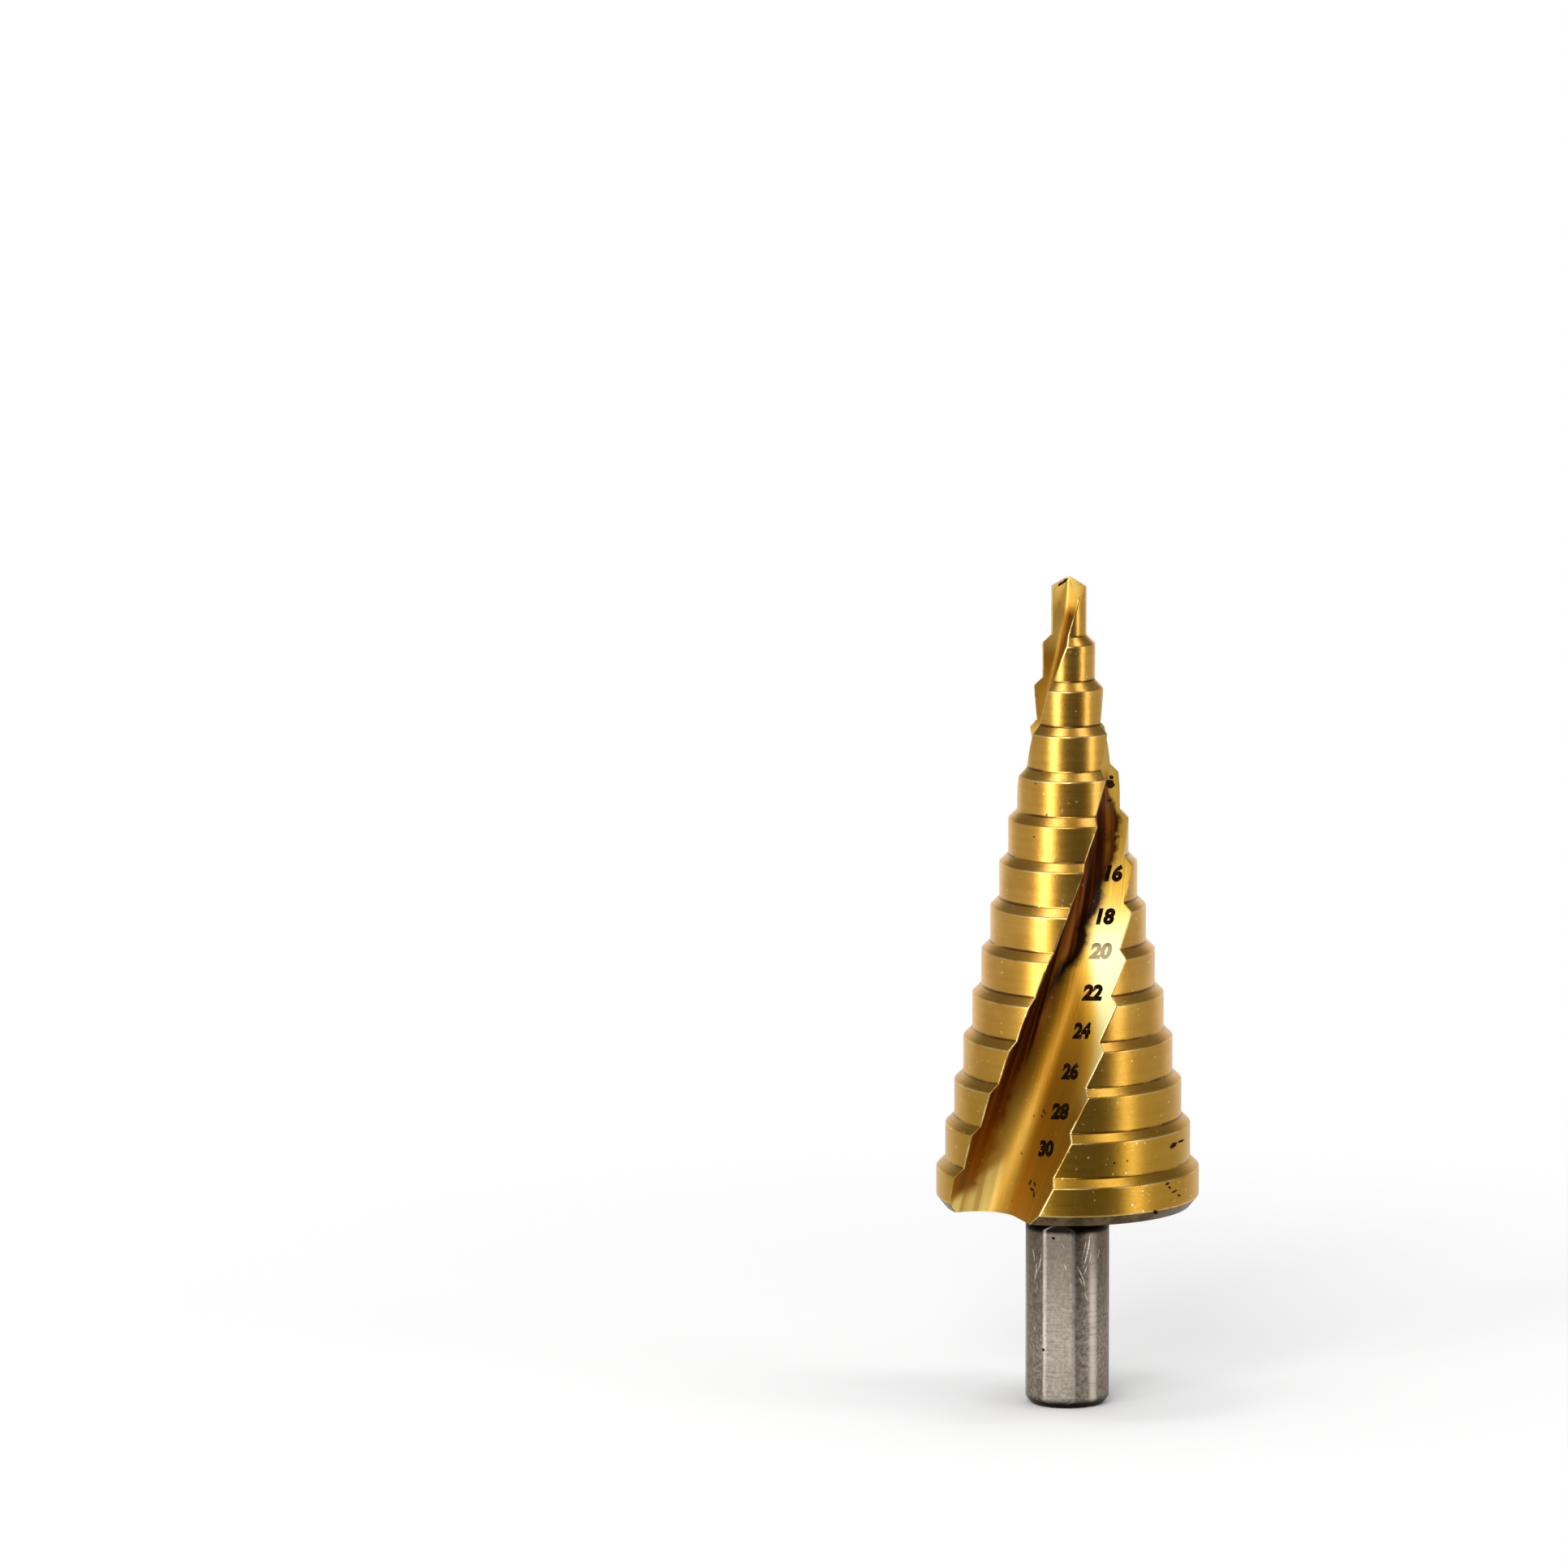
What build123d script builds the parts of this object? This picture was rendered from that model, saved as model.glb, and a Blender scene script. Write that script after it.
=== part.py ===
from build123d import *

import os
from math import degrees, log, radians, tan

# Step drill for sheet metal: a stepped cutting cone, a neck and a flatted
# shank, all ground from one bar of steel. It stands on the end of its shank,
# centred on the Z axis, with its point up. Millimetres and degrees.

# Steps, counted from the point down
step_count = 14
tip_diameter = 4.0
step_growth = 2.0
step_pitch = 5.0
shoulder_height = 1.0
tip_land_height = 5.5
last_land_height = 3.2
back_chamfer_height = 1.2
back_chamfer_width = 1.0

# Relief: a land drops behind its cutting edge, by this share of its radius
# over this much of a turn, and is drawn a little past both of its ends
land_relief = 0.03
land_sweep = 127.0
land_lead_in = 12.0
land_run_out = 21.0

# Point: two lips, each with a facet behind it and a steeper one ground off the heel
point_angle = 118.0
lip_clearance = 12.0
heel_fall = -31.0
heel_clearance = 55.0

# Flutes: right-hand, cut side faces the turn of the drill
flute_count = 2
flute_lead_length = 109.0
flute_helix_angle = 21.2
lip_azimuth = 29.0
web_half_at_point = 0.15
web_half_growth = 0.12
web_thinned_depth = 3.0
heel_wall_lean = 5.0
heel_wall_lean_at_point = -20.0
heel_wall_straight_depth = 12.0
gullet_root_share = 0.28
flute_section_spacing = 4.0
flute_overrun = 3.0

# Shank and neck
shank_diameter = 9.5
shank_height = 20.6
shank_chamfer_height = 0.9
shank_chamfer_width = 0.75
shank_chamfer_bulge = 0.04
flat_count = 3
flat_depth = 0.33
flat_azimuth = -103.0
neck_diameter = 8.3
neck_taper_height = 1.6
neck_taper_hollow = 0.1
neck_height = 0.8

# Levels that follow
cone_bottom = shank_height + neck_taper_height + neck_height
last_land_top = cone_bottom + back_chamfer_height + last_land_height
tip_shoulder_top = last_land_top + (step_count - 2) * step_pitch + shoulder_height
lip_corner_height = tip_shoulder_top + tip_land_height
lip_fall = 90 - point_angle / 2
point_height = lip_corner_height + tan(radians(lip_fall)) * tip_diameter / 2
last_radius = tip_diameter / 2 + (step_count - 1) * step_growth / 2
radius_slope = step_growth / 2 / step_pitch


def cone_radius(depth):
    """Radius of the plain cone through the middle of each land, at a depth below the point."""
    tip_land_middle = point_height - lip_corner_height + tip_land_height / 2
    return tip_diameter / 2 + (depth - tip_land_middle) * radius_slope


def cutting_edge_azimuth(height):
    """Where a flute's cutting edge stands at a height: constant lead near the point, constant
    helix angle from the depth where the cone has grown wide enough for it."""
    depth = point_height - height
    turn_per_mm = 360 / flute_lead_length
    wide_radius = degrees(tan(radians(flute_helix_angle))) / turn_per_mm
    wide_depth = (wide_radius - cone_radius(0)) / radius_slope
    turn = turn_per_mm * min(depth, wide_depth)
    if depth > wide_depth:
        turn += turn_per_mm * wide_radius / radius_slope * log(cone_radius(depth) / wide_radius)
    return lip_azimuth - turn


def land_point(radius, behind):
    """A point on a relieved land, at an angle behind its cutting edge."""
    drop = land_relief * behind / land_sweep
    return Vector(radius * (1 - drop), 0).rotate(Axis.Z, -behind)


def step_section(radius, azimuth, height):
    """Cross-section of a step before the flutes are cut: one relieved land for each flute."""
    behind = (-land_lead_in, land_sweep / 2, land_sweep + land_run_out)
    ends = []
    with BuildSketch(Plane.XY.offset(height).rotated((0, 0, azimuth))) as section:
        with BuildLine():
            for flute in range(flute_count):
                points = [
                    land_point(radius, angle).rotate(Axis.Z, -flute * 360 / flute_count)
                    for angle in behind
                ]
                ThreePointArc(*points)
                ends += [points[0], points[-1]]
            for heel, edge in zip(ends[1::2], ends[2::2] + ends[:1]):
                Line(heel, edge)
        make_face()
    return section.sketch


def gullet_section(azimuth, height):
    """Cross-section of one flute: a radial cutting face, a rounded root and the heel wall."""
    depth = max(point_height - height, 0)
    radius = cone_radius(depth)
    reach = radius + 2 * flute_overrun
    web_half = web_half_at_point + web_half_growth * max(depth - web_thinned_depth, 0)
    point_share = max(1 - depth / heel_wall_straight_depth, 0)
    lean = heel_wall_lean + (heel_wall_lean_at_point - heel_wall_lean) * point_share
    heel_offset = reach * tan(radians(lean))
    with BuildSketch(Plane.XY.offset(height).rotated((0, 0, azimuth))) as section:
        with BuildLine():
            Polyline(
                (web_half, 0),
                (web_half + reach, 0),
                (web_half + reach, reach),
                (web_half + heel_offset, reach),
                close=True,
            )
        make_face()
        root = vertices().sort_by_distance((web_half, 0))[0]
        fillet(root, gullet_root_share * radius)
    return section.sketch


with BuildPart() as step_drill:
    # Lands and shoulders, from the back of the widest step up to the point
    bottom = cone_bottom + back_chamfer_height
    azimuth = cutting_edge_azimuth(bottom + last_land_height / 2)
    back_edge = step_section(last_radius - back_chamfer_width, azimuth, cone_bottom)
    loft([back_edge, step_section(last_radius, azimuth, bottom)])
    for step in range(step_count, 0, -1):
        radius = tip_diameter / 2 + (step - 1) * step_growth / 2
        if step == step_count:
            top = bottom + last_land_height
        elif step > 1:
            top = bottom + step_pitch - shoulder_height
        else:
            top = point_height
        extrude(step_section(radius, azimuth, bottom), amount=top - bottom)
        if step > 1:
            shoulder_foot = step_section(radius, azimuth, top)
            bottom = top + shoulder_height
            azimuth = cutting_edge_azimuth(bottom + (step_pitch - shoulder_height) / 2)
            loft([shoulder_foot, step_section(radius - step_growth / 2, azimuth, bottom)])

    # Point: a clearance facet and a heel facet behind each lip
    for flute in range(flute_count):
        turn = cutting_edge_azimuth(lip_corner_height) + flute * 360 / flute_count
        for fall, clearance in ((lip_fall, lip_clearance), (heel_fall, heel_clearance)):
            facing = Vector(tan(radians(fall)), -tan(radians(clearance)), 1)
            facet = Plane((0, 0, point_height), z_dir=facing.rotate(Axis.Z, turn))
            split(bisect_by=facet, keep=Keep.BOTTOM)

    # Flutes, each run out past the point and the back of the cone
    flute_bottom = cone_bottom - flute_overrun
    flute_length = point_height + flute_overrun - flute_bottom
    section_count = round(flute_length / flute_section_spacing) + 1
    heights = [
        flute_bottom + index * flute_length / (section_count - 1) for index in range(section_count)
    ]
    for flute in range(flute_count):
        turn = flute * 360 / flute_count
        loft(
            [gullet_section(cutting_edge_azimuth(height) + turn, height) for height in heights],
            mode=Mode.SUBTRACT,
        )

    # Shank and neck
    shank_radius = shank_diameter / 2
    neck_radius = neck_diameter / 2
    with BuildSketch(Plane.XZ):
        with BuildLine():
            end_face_edge = (shank_radius - shank_chamfer_width, 0)
            chamfer_top = (shank_radius, shank_chamfer_height)
            taper_foot = (shank_radius, shank_height)
            taper_top = (neck_radius, shank_height + neck_taper_height)
            Line((0, 0), end_face_edge)
            SagittaArc(end_face_edge, chamfer_top, -shank_chamfer_bulge)
            Line(chamfer_top, taper_foot)
            SagittaArc(taper_foot, taper_top, neck_taper_hollow)
            Polyline(taper_top, (neck_radius, cone_bottom), (0, cone_bottom), (0, 0))
        make_face()
    revolve(axis=Axis.Z)

    # Flats for the chuck's jaws, run out on the neck's taper
    with BuildSketch():
        with PolarLocations(shank_radius - flat_depth, flat_count, start_angle=flat_azimuth):
            Rectangle(shank_diameter, shank_diameter, align=(Align.MIN, Align.CENTER))
    extrude(amount=shank_height + neck_taper_height, mode=Mode.SUBTRACT)

step_drill.part.label = "step_drill"
os.makedirs("parts", exist_ok=True)
export_step(step_drill.part, "parts/step_drill.step")
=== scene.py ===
import bpy
import bmesh
from math import acos, ceil, cos, e, pi, radians, sin, sqrt, tan
from mathutils import Matrix, Vector


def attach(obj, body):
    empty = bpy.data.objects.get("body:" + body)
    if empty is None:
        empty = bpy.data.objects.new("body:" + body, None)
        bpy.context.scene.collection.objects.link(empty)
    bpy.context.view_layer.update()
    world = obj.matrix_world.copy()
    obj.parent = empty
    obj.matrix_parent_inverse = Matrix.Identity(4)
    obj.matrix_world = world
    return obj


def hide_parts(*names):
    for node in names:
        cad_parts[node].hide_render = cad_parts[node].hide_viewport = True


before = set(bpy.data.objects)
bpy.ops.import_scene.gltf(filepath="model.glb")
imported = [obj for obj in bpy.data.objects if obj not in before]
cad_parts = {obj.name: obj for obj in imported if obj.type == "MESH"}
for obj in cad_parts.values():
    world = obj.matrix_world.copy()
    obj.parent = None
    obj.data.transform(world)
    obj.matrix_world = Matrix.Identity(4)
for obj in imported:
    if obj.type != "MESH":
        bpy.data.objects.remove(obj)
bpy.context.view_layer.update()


# ---------------------------------------------------------------------------
# Stepped cone. Fourteen steps and the back chamfer behind them are turned
# from a bar of tool steel, the widest step at the bottom. This is the blank,
# a closed wall of rings, before the flutes are ground into it.
# ---------------------------------------------------------------------------
mm = 0.001
step_count = 14
tip_diameter = 4.0 * mm
step_growth = 2.0 * mm
step_pitch = 5.0 * mm
shoulder_height = 1.0 * mm
tip_land_height = 5.5 * mm
last_land_height = 3.2 * mm
back_chamfer_height = 1.2 * mm
back_chamfer_width = 1.0 * mm
cone_bottom = 23.0 * mm
lip_corner_height = 93.9 * mm
point_angle = radians(118)
lip_fall = pi / 2 - point_angle / 2
point_height = lip_corner_height + tan(lip_fall) * tip_diameter / 2
corner_round = 0.05 * mm
beside_corner = 0.2 * mm
ring_spacing = 0.62 * mm
step_edge_wear = 0.5


def blank_profile():
    """Corners of the turned blank from the back face up: radius, height, the middle of the
    corner's step, and 1 for an edge or -1 for a nook."""
    radius = tip_diameter / 2 + (step_count - 1) * step_growth / 2
    land_foot = cone_bottom + back_chamfer_height
    middle = land_foot + last_land_height / 2
    corners = [(radius - back_chamfer_width, cone_bottom, middle, 1)]
    corners += [(radius, land_foot, middle, 1)]
    land_top = land_foot + last_land_height
    while radius > tip_diameter / 2 + step_growth / 4:
        corners.append((radius, land_top, middle, 1))
        radius -= step_growth / 2
        land_foot = land_top + shoulder_height
        middle = land_foot + (step_pitch - shoulder_height) / 2
        corners.append((radius, land_foot, middle, -1))
        land_top = land_foot + step_pitch - shoulder_height
    corners.append((radius, point_height + corner_round, middle, 1))
    return corners


def rings_of(corners):
    """Rings of the blank, close together beside each corner: radius, height, the step's
    middle, and wear."""
    rings = [corners[0]]
    for lower, upper in zip(corners, corners[1:]):
        length = sqrt((upper[0] - lower[0]) ** 2 + (upper[1] - lower[1]) ** 2)
        count = max(1, ceil((length - 2 * beside_corner) / ring_spacing))
        gap = (length - 2 * beside_corner) / count
        stations = [(corner_round, lower[3]), (beside_corner, 0.0)]
        stations += [(beside_corner + gap * number, 0.0) for number in range(1, count)]
        stations += [(length - beside_corner, 0.0), (length - corner_round, upper[3])]
        for along, wear in stations:
            share = along / length
            rings.append((*(a + (b - a) * share for a, b in zip(lower[:3], upper)), wear))
    return rings


# Around a ring each half runs clockwise: heel wall, root, cutting face, land
wall_side, root_side, face_side, land_side = range(4)
wall_columns, root_columns, face_columns, land_columns = 11, 14, 8, 56


def spaced(side, count, inset):
    """Columns spread evenly along a side, without its first corner."""
    return [(side, number / count, inset, 0.0) for number in range(1, count + 1)]


columns_of_half = [
    # Side, share along it, distance in from its corners, wear
    (wall_side, 0.0, corner_round, 1.0),
    (wall_side, 0.0, beside_corner, 0.0),
    *spaced(wall_side, wall_columns, beside_corner),
    *spaced(root_side, root_columns, 0.0),
    *spaced(face_side, face_columns, beside_corner),
    (face_side, 1.0, corner_round, 1.0),
    (land_side, 0.0, corner_round, 1.0),
    (land_side, 0.0, beside_corner, 0.0),
    *spaced(land_side, land_columns, beside_corner),
    (land_side, 1.0, corner_round, 1.0),
]
rings = rings_of(blank_profile())
columns = [(*column, half) for half in range(2) for column in columns_of_half]
count_round = len(columns)
turned, carried_along = [], []
for ring_radius, ring_height, step_middle, ring_wear in rings:
    for number, (side, share, inset, wear, half) in enumerate(columns):
        turn = -2 * pi * number / count_round
        turned.append((ring_radius * cos(turn), ring_radius * sin(turn), ring_height))
        on_land = side == land_side
        edge_wear = max(step_edge_wear * ring_wear, wear) if on_land else wear
        nook = max(-ring_wear, 0.0) if on_land else 0.0
        carried_along.append(
            (ring_radius, ring_height, step_middle, side, share, inset, half, edge_wear, nook)
        )
wall_faces = []
for ring_start in range(0, count_round * (len(rings) - 1), count_round):
    for number in range(count_round):
        here, beside = ring_start + number, ring_start + (number + 1) % count_round
        wall_faces.append((here, here + count_round, beside + count_round, beside))
blank = bpy.data.meshes.new("blank")
blank.from_pydata(turned, [], wall_faces)
carried_names = (
    "ring_radius",
    "ring_height",
    "step_middle",
    "side",
    "share",
    "from_corner",
    "half",
    "edge_wear",
    "nook",
)
for name, values in zip(carried_names, zip(*carried_along)):
    layer = blank.attributes.new(name, "FLOAT", "POINT")
    layer.data.foreach_set("value", [float(value) for value in values])

# ---------------------------------------------------------------------------
# Flutes. Two right-hand helical flutes are ground up the cone. Each has a
# radial cutting face, a rounded root and a heel wall, and between them the
# lands are relieved, falling a little below the step's circle at the heel.
# ---------------------------------------------------------------------------
flute_sizes = {
    "Point height": point_height,
    "Lip azimuth": radians(29),
    "Flute lead": 109 * mm,
    "Flute helix angle": radians(21.2),
    "Tip radius": tip_diameter / 2,
    "Tip land middle": point_height - lip_corner_height + tip_land_height / 2,
    "Radius slope": step_growth / 2 / step_pitch,
    "Web half at point": 0.15 * mm,
    "Web half growth": 0.12,
    "Web thinned depth": 3 * mm,
    "Heel wall lean": radians(5),
    "Heel wall lean at point": radians(-20),
    "Heel wall straight depth": 12 * mm,
    "Root share": 0.28,
    "Land relief": 0.03 / radians(127),
    "Bare height": cone_bottom + back_chamfer_height - corner_round,
}
first_heel_drop = 0.02
grain_shift = 100 * mm


class Result:
    """What a node puts out. Sums and products of numbers make more nodes, so that a rule
    reads as a plain formula."""

    def __init__(self, socket):
        self.socket, self.tree = socket, socket.id_data

    def __add__(self, other):
        return worked("ADD", self, other)

    def __radd__(self, other):
        return worked("ADD", other, self)

    def __sub__(self, other):
        return worked("SUBTRACT", self, other)

    def __rsub__(self, other):
        return worked("SUBTRACT", other, self)

    def __mul__(self, other):
        return worked("MULTIPLY", self, other)

    def __rmul__(self, other):
        return worked("MULTIPLY", other, self)

    def __truediv__(self, other):
        return worked("DIVIDE", self, other)

    def __rtruediv__(self, other):
        return worked("DIVIDE", other, self)


def fill(node, values):
    """Sets or links a node's inputs, counted or named."""
    for key, value in values.items():
        if isinstance(value, Result):
            node.id_data.links.new(value.socket, node.inputs[key])
        elif value is not None:
            node.inputs[key].default_value = value


def wire(tree, kind, *values, named=None, output=0, **settings):
    """One output of a new node, by its place or name, or all of them by name."""
    node = tree.nodes.new(kind)
    for setting, value in settings.items():
        setattr(node, setting, value)
    fill(node, {**dict(enumerate(values)), **(named or {})})
    if output == "all":
        return {socket.name: Result(socket) for socket in node.outputs}
    return Result(node.outputs[output])


def worked(operation, *values):
    """A function of numbers, worked out by one math node."""
    tree = next(value.tree for value in values if isinstance(value, Result))
    return wire(tree, "ShaderNodeMath", *values, operation=operation)


def new_group(name, kind, inputs, outputs):
    """An empty group of nodes, what comes in by name, and the node that puts out."""
    group = bpy.data.node_groups.new(name, kind)
    for in_out, sockets in (("INPUT", inputs), ("OUTPUT", outputs)):
        for socket_name, socket_kind in sockets.items():
            group.interface.new_socket(
                socket_name, in_out=in_out, socket_type="NodeSocket" + socket_kind
            )
    comes_in = wire(group, "NodeGroupInput", output="all")
    return group, comes_in, group.nodes.new("NodeGroupOutput")


fluting, sized, fluted = new_group(
    "flutes ground into the cone",
    "GeometryNodeTree",
    {
        "Geometry": "Geometry",
        **dict.fromkeys(flute_sizes, "Float"),
        "Coated": "Material",
        "Bare": "Material",
    },
    {"Geometry": "Geometry"},
)


def carried(name):
    """A number that the blank carries at each point."""
    kind = "GeometryNodeInputNamedAttribute"
    return wire(fluting, kind, name, data_type="FLOAT", output="Attribute")


def cone_radius(depth):
    """Radius of the plain cone through the middle of each land."""
    return sized["Tip radius"] + (depth - sized["Tip land middle"]) * sized["Radius slope"]


turn_per_metre = 2 * pi / sized["Flute lead"]
wide_radius = worked("TANGENT", sized["Flute helix angle"]) / turn_per_metre
wide_depth = (wide_radius - cone_radius(0)) / sized["Radius slope"]


def edge_azimuth(height):
    """Azimuth of the first cutting edge: constant lead near the point, constant helix angle
    below."""
    depth = sized["Point height"] - height
    turn = turn_per_metre * worked("MINIMUM", depth, wide_depth)
    growth = worked("MAXIMUM", cone_radius(depth) / wide_radius, 1.0)
    slow_turn = turn_per_metre * wide_radius / sized["Radius slope"]
    return sized["Lip azimuth"] - (turn + slow_turn * worked("LOGARITHM", growth, e))


height, radius = carried("ring_height"), carried("ring_radius")
side, share, inset, half = (carried(name) for name in ("side", "share", "from_corner", "half"))
azimuth, step_azimuth = edge_azimuth(height), edge_azimuth(carried("step_middle"))
depth = worked("MAXIMUM", sized["Point height"] - height, 0.0)
thickened_depth = worked("MAXIMUM", depth - sized["Web thinned depth"], 0.0)
web = sized["Web half at point"] + sized["Web half growth"] * thickened_depth
point_share = worked("MAXIMUM", 1 - depth / sized["Heel wall straight depth"], 0.0)
extra_lean = sized["Heel wall lean at point"] - sized["Heel wall lean"]
lean = sized["Heel wall lean"] + point_share * extra_lean
root = sized["Root share"] * cone_radius(depth)
sin_lean, cos_lean = worked("SINE", lean), worked("COSINE", lean)
tan_lean = sin_lean / cos_lean
root_middle = web + root * (1 + sin_lean) / cos_lean


def relieved(behind):
    """A land's radius at an angle behind its cutting edge."""
    return radius * (1 - sized["Land relief"] * (behind + step_azimuth - azimuth))


def heel_corner(land_radius):
    """Where the heel wall meets a circle of this radius, across and along its flute's axes."""
    widening = 1 + tan_lean * tan_lean
    inside = worked("SQRT", land_radius * land_radius * widening - web * web)
    out = (inside - web * tan_lean) / widening
    return web + out * tan_lean, out


def sweep_to(corner):
    """Angle of a land, from its cutting edge back to its heel's corner."""
    heel_u, heel_v = corner
    return pi - worked("ARCTAN2", heel_v, heel_u)


# The heel's corner is found on a circle near the land, and then on the relieved land itself
land_sweep = sweep_to(heel_corner(radius * (1 - first_heel_drop)))
heel_u, heel_v = heel_corner(relieved(land_sweep))
land_sweep = sweep_to((heel_u, heel_v))

wall_foot = root * (1 + sin_lean)
wall_v = heel_v - inset + share * (wall_foot - heel_v + inset)
root_turn = -pi / 2 - (1 - share) * (pi / 2 + lean)
face_along = share * (radius - inset - root_middle)
behind = inset / radius + share * (land_sweep - 2 * inset / radius)
places = (
    (web + wall_v * tan_lean, wall_v),
    (root_middle + root * worked("COSINE", root_turn), root + root * worked("SINE", root_turn)),
    (root_middle + face_along, 0.0),
    (relieved(behind) * worked("COSINE", behind), relieved(behind) * worked("SINE", behind) * -1),
)


def of_this_side(results):
    """The result for the side that each point lies on."""
    switch = fluting.nodes.new("GeometryNodeIndexSwitch")
    switch.data_type = "FLOAT"
    while len(switch.index_switch_items) < len(results):
        switch.index_switch_items.new()
    fill(switch, {"Index": side, **dict(enumerate(results, 1))})
    return Result(switch.outputs[0])


across, along = (of_this_side(results) for results in zip(*places))
facing = azimuth - half * pi
cos_facing, sin_facing = worked("COSINE", facing), worked("SINE", facing)
# Across a flute from where its root starts, and up a land
root_width = root * (pi / 2 + lean)
flute_across = ((wall_foot - wall_v) / cos_lean, share * root_width, root_width + face_along)
widths = of_this_side((*flute_across, height))
flute_place = of_this_side((*flute_across, 0.0)) / cone_radius(depth)
lengths = of_this_side((height, height, height, radius * behind + half * grain_shift))
in_flute = worked("LESS_THAN", side, land_side - 0.5)


def joined(x, y, z):
    """Three numbers as one vector."""
    return wire(fluting, "ShaderNodeCombineXYZ", x, y, z)


ground_to = joined(
    across * cos_facing - along * sin_facing, across * sin_facing + along * cos_facing, height
)
cone = wire(fluting, "GeometryNodeSetPosition", sized["Geometry"], named={"Position": ground_to})
for name, kind, value in (
    ("grain", "FLOAT_VECTOR", joined(widths / mm, lengths / mm, in_flute)),
    ("in_flute", "FLOAT", in_flute),
    ("flute_place", "FLOAT", flute_place),
):
    cone = wire(
        fluting,
        "GeometryNodeStoreNamedAttribute",
        cone,
        named={"Name": name, "Value": value},
        data_type=kind,
        domain="POINT",
    )
cone = wire(fluting, "GeometryNodeRealizeInstances", cone)
left_bare = worked("LESS_THAN", height, sized["Bare height"]) * (1 - in_flute)
for name, chosen in (("Coated", None), ("Bare", left_bare)):
    cone = wire(fluting, "GeometryNodeSetMaterial", cone, chosen, sized[name])
fill(fluted, {0: cone})

# ---------------------------------------------------------------------------
# Finish of the cone. Titanium nitride, a thin hard gold layer over the ground
# steel, satin from the turning marks beneath it and bright where edges rub.
# Painted shade darkens the nooks and lies deep brown in the flutes, with painted
# highlights and sheen beside it. The back chamfer is left as bare ground steel.
# ---------------------------------------------------------------------------


def eased(amount, low, high, out_low=0.0, out_high=1.0):
    """An amount brought smoothly from one range to another."""
    ranges = (low, high, out_low, out_high)
    smooth = "SMOOTHSTEP"
    return wire(amount.tree, "ShaderNodeMapRange", amount, *ranges, interpolation_type=smooth)


def blended(share, first, second):
    """Two colours mixed by a share."""
    sides = {0: share, 6: first, 7: second}
    return wire(share.tree, "ShaderNodeMix", named=sides, output=2, data_type="RGBA")


def laid_over(colour, *layers):
    """A colour with others laid over it in turn, each by its own share."""
    for share, layer_colour in layers:
        colour = blended(share, colour, layer_colour)
    return colour


def uneven(place, scale, detail, roughness=0.5):
    """Soft uneven patches over a place."""
    sizes = {"Scale": scale, "Detail": detail, "Roughness": roughness}
    return wire(place.tree, "ShaderNodeTexNoise", place, named=sizes)


def parts_of(vector):
    """The three numbers of a vector."""
    return tuple(wire(vector.tree, "ShaderNodeSeparateXYZ", vector, output="all").values())


# Marks that a tool or a wheel leaves: fine lines across the first axis of the
# surface's own grain, which run along the second one and fade in and out
marks, asked, puts_out = new_group(
    "tool marks",
    "ShaderNodeTree",
    {"Grain": "Vector", "Fineness": "Float", "Length": "Float", "Waver": "Float"},
    {"Fine": "Float", "Broad": "Float"},
)
grain_across, grain_along, grain_kind = parts_of(asked["Grain"])
lined = grain_across + uneven(asked["Grain"], 0.6, 2.0) * asked["Waver"]
stretched = wire(
    marks,
    "ShaderNodeCombineXYZ",
    lined * asked["Fineness"],
    grain_along / asked["Length"],
    grain_kind * 7.0,
)
fill(puts_out, {"Fine": uneven(stretched, 1.0, 5.0, 0.7), "Broad": uneven(stretched, 0.17, 3.0)})

# Patches along a marked line: wear where an edge has rubbed, and painted shade where the line is
# a nook, more in some places than in others
wear_and_nook_shade, asked, puts_out = new_group(
    "edge wear",
    "ShaderNodeTree",
    {"Edge": "Float", "Amount": "Float", "Patch size": "Float"},
    {"Mask": "Float"},
)
place = wire(wear_and_nook_shade, "ShaderNodeTexCoord", output="Object")
patches = uneven(place, 1 / mm / asked["Patch size"], 4.0)
fill(puts_out, {"Mask": asked["Edge"] * eased(patches, 0.35, 0.62) * asked["Amount"]})

# Specks: small pits and grains scattered over a surface, few of them large
specked, asked, puts_out = new_group(
    "specks",
    "ShaderNodeTree",
    {"Spacing": "Float", "Size": "Float", "Share": "Float"},
    {"Mask": "Float"},
)
place = wire(specked, "ShaderNodeTexCoord", output="Object")
ripple_size = 0.22 * mm
ripple = wire(
    specked, "ShaderNodeTexNoise", place, named={"Scale": 3600.0, "Detail": 2.0}, output="Color"
)
rippled = wire(
    specked, "ShaderNodeVectorMath", ripple, (ripple_size,) * 3, place, operation="MULTIPLY_ADD"
)
cells = wire(
    specked,
    "ShaderNodeTexVoronoi",
    rippled,
    named={"Scale": 1 / mm / asked["Spacing"]},
    output="all",
)
draw, size_share = parts_of(cells["Color"])[:2]
inside = worked("LESS_THAN", cells["Distance"], asked["Size"] * size_share)
fill(puts_out, {"Mask": inside * worked("LESS_THAN", draw, asked["Share"])})


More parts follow.
